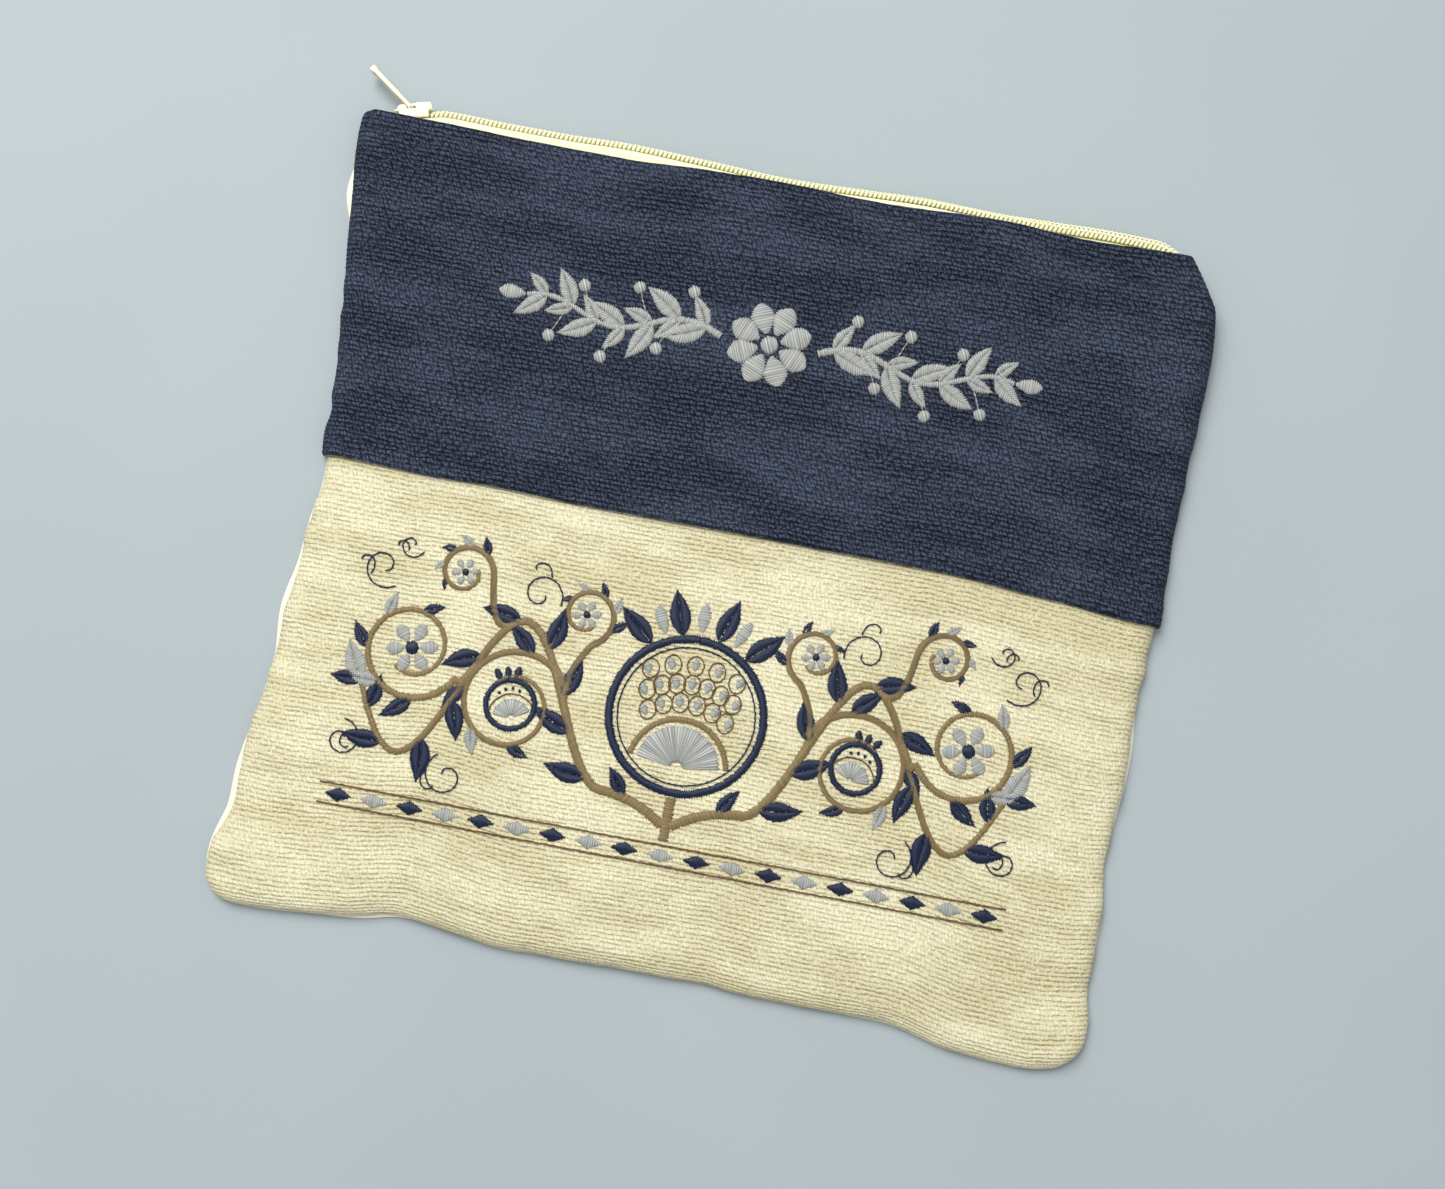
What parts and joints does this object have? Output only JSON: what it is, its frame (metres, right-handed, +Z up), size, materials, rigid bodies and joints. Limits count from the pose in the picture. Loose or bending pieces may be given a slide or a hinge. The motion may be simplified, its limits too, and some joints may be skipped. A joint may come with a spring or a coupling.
{
  "type": "tallit bag",
  "caption": "Flat square cloth pouch for a prayer shawl, with a two-colour chenille front and a zip with a pull tab along the top edge.",
  "frame": {"origin": "under the middle of the bag's box, on the surface that the bag lies on", "axes": "+Z up out of the front, +X along the zip to the right, +Y from the bottom seam to the zip"},
  "size_m": [0.3112, 0.3022, 0.0135],
  "materials": {
    "cream_backing": "smooth woven cotton, matt",
    "beige_chenille": "ribbed chenille pile, mottled",
    "navy_chenille": "ribbed chenille pile, mottled",
    "zip_tape": "fine woven polyester tape",
    "zip_coil": "satin nylon coil",
    "cream_paint": "smooth glossy paint",
    "silver_thread": "bright satin-stitched rayon thread",
    "navy_thread": "bright satin-stitched rayon thread",
    "taupe_thread": "bright satin-stitched rayon thread"
  },
  "bodies": {
    "bag": {"back_panel": "cream_backing", "front_panel": "beige_chenille", "upper_panel": "navy_chenille", "zip_tape_front": "zip_tape", "zip_tape_back": "zip_tape", "zip_chain_front": "zip_coil", "zip_chain_back": "zip_coil", "slider_body": "cream_paint"},
    "pull_tab": {"pull_tab": "cream_paint"}
  },
  "joints": [
    {"name": "pull_tab_swing", "type": "hinge", "parent": "bag", "child": "pull_tab", "pos_m": [-0.13715, 0.13783, 0.0059], "axis": [0, 0, 1], "range_deg": [-94, 42]}
  ]
}
